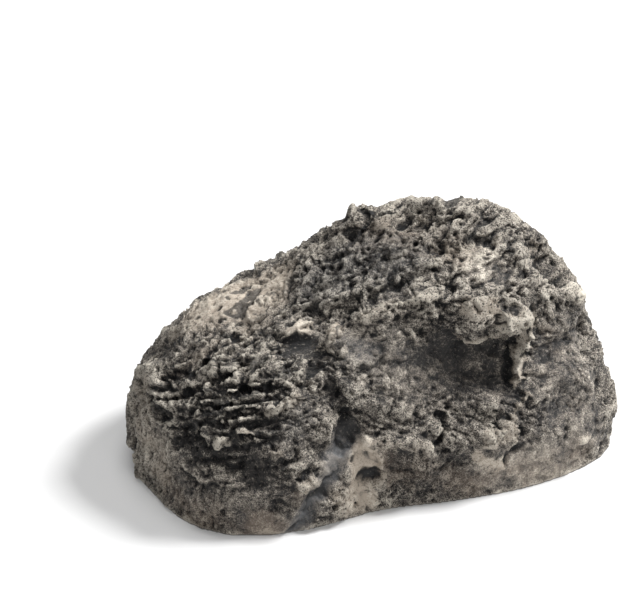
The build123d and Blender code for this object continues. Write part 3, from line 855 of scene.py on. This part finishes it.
# %% Measure crests and hollows for the paint
points = read_points(thinned)
low, high = np.array(cad_box) / MM
low[2] = -9.0
SOFT_EDGE = 0.7
for limit, sign in ((high, 1), (low, -1)):
    over = np.maximum(sign * (points - limit) + SOFT_EDGE, 0)
    points -= sign * (over - SOFT_EDGE * (1 - np.exp(-over / SOFT_EDGE)))
points[:, 2] = np.maximum(points[:, 2], 0)
write_points(thinned, points)
normals = read_normals(thinned)
links = Neighbours(thinned)
for name, rounds, scale in (("crest_fine", 5, 0.28), ("crest_broad", 40, 0.9)):
    stands = ((points - links.relax(points, rounds)) * normals).sum(1) / scale
    write_value(thinned, name, np.clip(links.relax(stands, 1, 0.5), -2, 2))
    print(name, np.percentile(stands, [2, 25, 50, 75, 98]).round(2))
for face in thinned.polygons:
    face.use_smooth = True
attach(stone, "rock")
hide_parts("rock_shell")

# %% [markdown]
# The plate, the lid and the tub are moulded plastic. A mould leaves a fine even texture, which is
# bump from a small noise; handling leaves faint pale scuffs along one direction, which are a
# stretched noise in the colour and the roughness.

# %% Moulded plastic
def close_noise(tree, place, sizes, detail=3.0, rough=0.6):
    """A noise whose grains are this many millimetres long in x, y and z."""
    scaled = add(tree, "ShaderNodeVectorMath", {0: place, 1: [1000 / s for s in sizes]}, operation="MULTIPLY")
    feed = {"Vector": scaled.outputs[0], "Scale": 1.0, "Detail": detail, "Roughness": rough}
    return add(tree, "ShaderNodeTexNoise", feed).outputs[0]


def moulded_plastic(name, tone, worn_tone, grain_size, grain_depth, roughness):
    finish, tree, shader, place = new_finish(name)
    cloudy = close_noise(tree, place, (9, 9, 9))
    scuffs = between(tree, close_noise(tree, place, (14, 0.35, 2.0), 4.0), 0.60, 0.72)
    dust = between(tree, close_noise(tree, place, (1.2, 1.2, 1.2), 5.0), 0.55, 0.75, 0.0, 0.5)
    colour = mixed(tree, between(tree, cloudy, 0.3, 0.7, 0.0, 0.35), tone, worn_tone)
    colour = mixed(tree, calc(tree, "MULTIPLY", scuffs, 0.45), colour, worn_tone)
    colour = mixed(tree, calc(tree, "MULTIPLY", dust, 0.6), colour, worn_tone)
    tree.links.new(colour, shader.inputs["Base Color"])
    rough = between(tree, cloudy, 0.3, 0.7, roughness - 0.06, roughness + 0.08)
    tree.links.new(calc(tree, "ADD", rough, calc(tree, "MULTIPLY", scuffs, 0.12)), shader.inputs["Roughness"])
    shader.inputs["Specular IOR Level"].default_value = 0.45
    texture = close_noise(tree, place, (grain_size,) * 3, 2.0)
    bump = add(tree, "ShaderNodeBump", {"Height": texture, "Distance": grain_depth * MM, "Strength": 0.8})
    tree.links.new(bump.outputs[0], shader.inputs["Normal"])
    return finish


# %% [markdown]
# The gasket is closed-cell foam: tiny round cells, so its bump is a cell texture. The screws are
# zinc-plated steel, brushed round by the polishing; the inserts are turned brass, with the rings
# of the lathe along their height.

# %% Foam and metals
def cell_foam(name, tone, pale_tone):
    finish, tree, shader, place = new_finish(name)
    scaled = add(tree, "ShaderNodeVectorMath", {0: place, 3: 1000.0}, operation="SCALE").outputs[0]
    cell = add(tree, "ShaderNodeTexVoronoi", {"Vector": scaled, "Scale": 2.6}).outputs["Distance"]
    colour = mixed(tree, between(tree, cell, 0.1, 0.6), tone, pale_tone)
    tree.links.new(colour, shader.inputs["Base Color"])
    tree.links.new(between(tree, cell, 0.0, 0.6, 0.95, 0.75), shader.inputs["Roughness"])
    bump = add(tree, "ShaderNodeBump", {"Height": cell, "Distance": 0.25 * MM, "Strength": 0.7})
    tree.links.new(bump.outputs[0], shader.inputs["Normal"])
    return finish


def worked_metal(name, tone, dull_tone, stretch, roughness):
    finish, tree, shader, place = new_finish(name)
    lines = close_noise(tree, place, stretch, 3.0)
    tarnish = close_noise(tree, place, (1.8, 1.8, 1.8), 4.0)
    colour = mixed(tree, between(tree, tarnish, 0.40, 0.70, 0.0, 0.7), tone, dull_tone)
    tree.links.new(colour, shader.inputs["Base Color"])
    shader.inputs["Metallic"].default_value = 1.0
    rough = between(tree, lines, 0.3, 0.7, roughness - 0.08, roughness + 0.10)
    tree.links.new(calc(tree, "ADD", rough, calc(tree, "MULTIPLY", tarnish, 0.15)), shader.inputs["Roughness"])
    bump = add(tree, "ShaderNodeBump", {"Height": lines, "Distance": 0.03 * MM, "Strength": 0.7})
    tree.links.new(bump.outputs[0], shader.inputs["Normal"])
    return finish


# %% Give every CAD piece its finish
BLACK, BLACK_SCUFF = paint(56, 56, 58), paint(92, 92, 94)
plate_finish = moulded_plastic("plate_plastic", BLACK, BLACK_SCUFF, 0.30, 0.10, 0.55)
lid_finish = moulded_plastic("lid_plastic", paint(64, 64, 66), paint(104, 104, 106), 0.30, 0.12, 0.50)
tub_finish = moulded_plastic("tub_plastic", BLACK, BLACK_SCUFF, 0.50, 0.04, 0.42)
foam_finish = cell_foam("gasket_foam", paint(24, 24, 25), paint(48, 48, 49))
steel_finish = worked_metal(
    "screw_steel", paint(205, 206, 208), paint(150, 151, 152), (2.5, 0.12, 0.12), 0.30
)
brass_finish = worked_metal(
    "insert_brass", paint(208, 172, 98), paint(140, 108, 60), (6.0, 6.0, 0.15), 0.32
)
FINISHES = {
    "base_plate": plate_finish, "compartment_lid": lid_finish, "key_tub": tub_finish,
    "base_gasket": foam_finish, "base_screws": steel_finish, "tub_screws": steel_finish,
    "boss_inserts": brass_finish,
}
for name, finish in FINISHES.items():
    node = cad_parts[name]
    if not node.material_slots:
        node.data.materials.append(finish)
    for place_of_finish in node.material_slots:
        place_of_finish.material = finish
    print(name, "<-", finish.name)

# %% Print the sizes of the CAD model and of what is shown
size = {"cad": cad_box, "visual": [list(corner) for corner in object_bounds()]}
print(size)
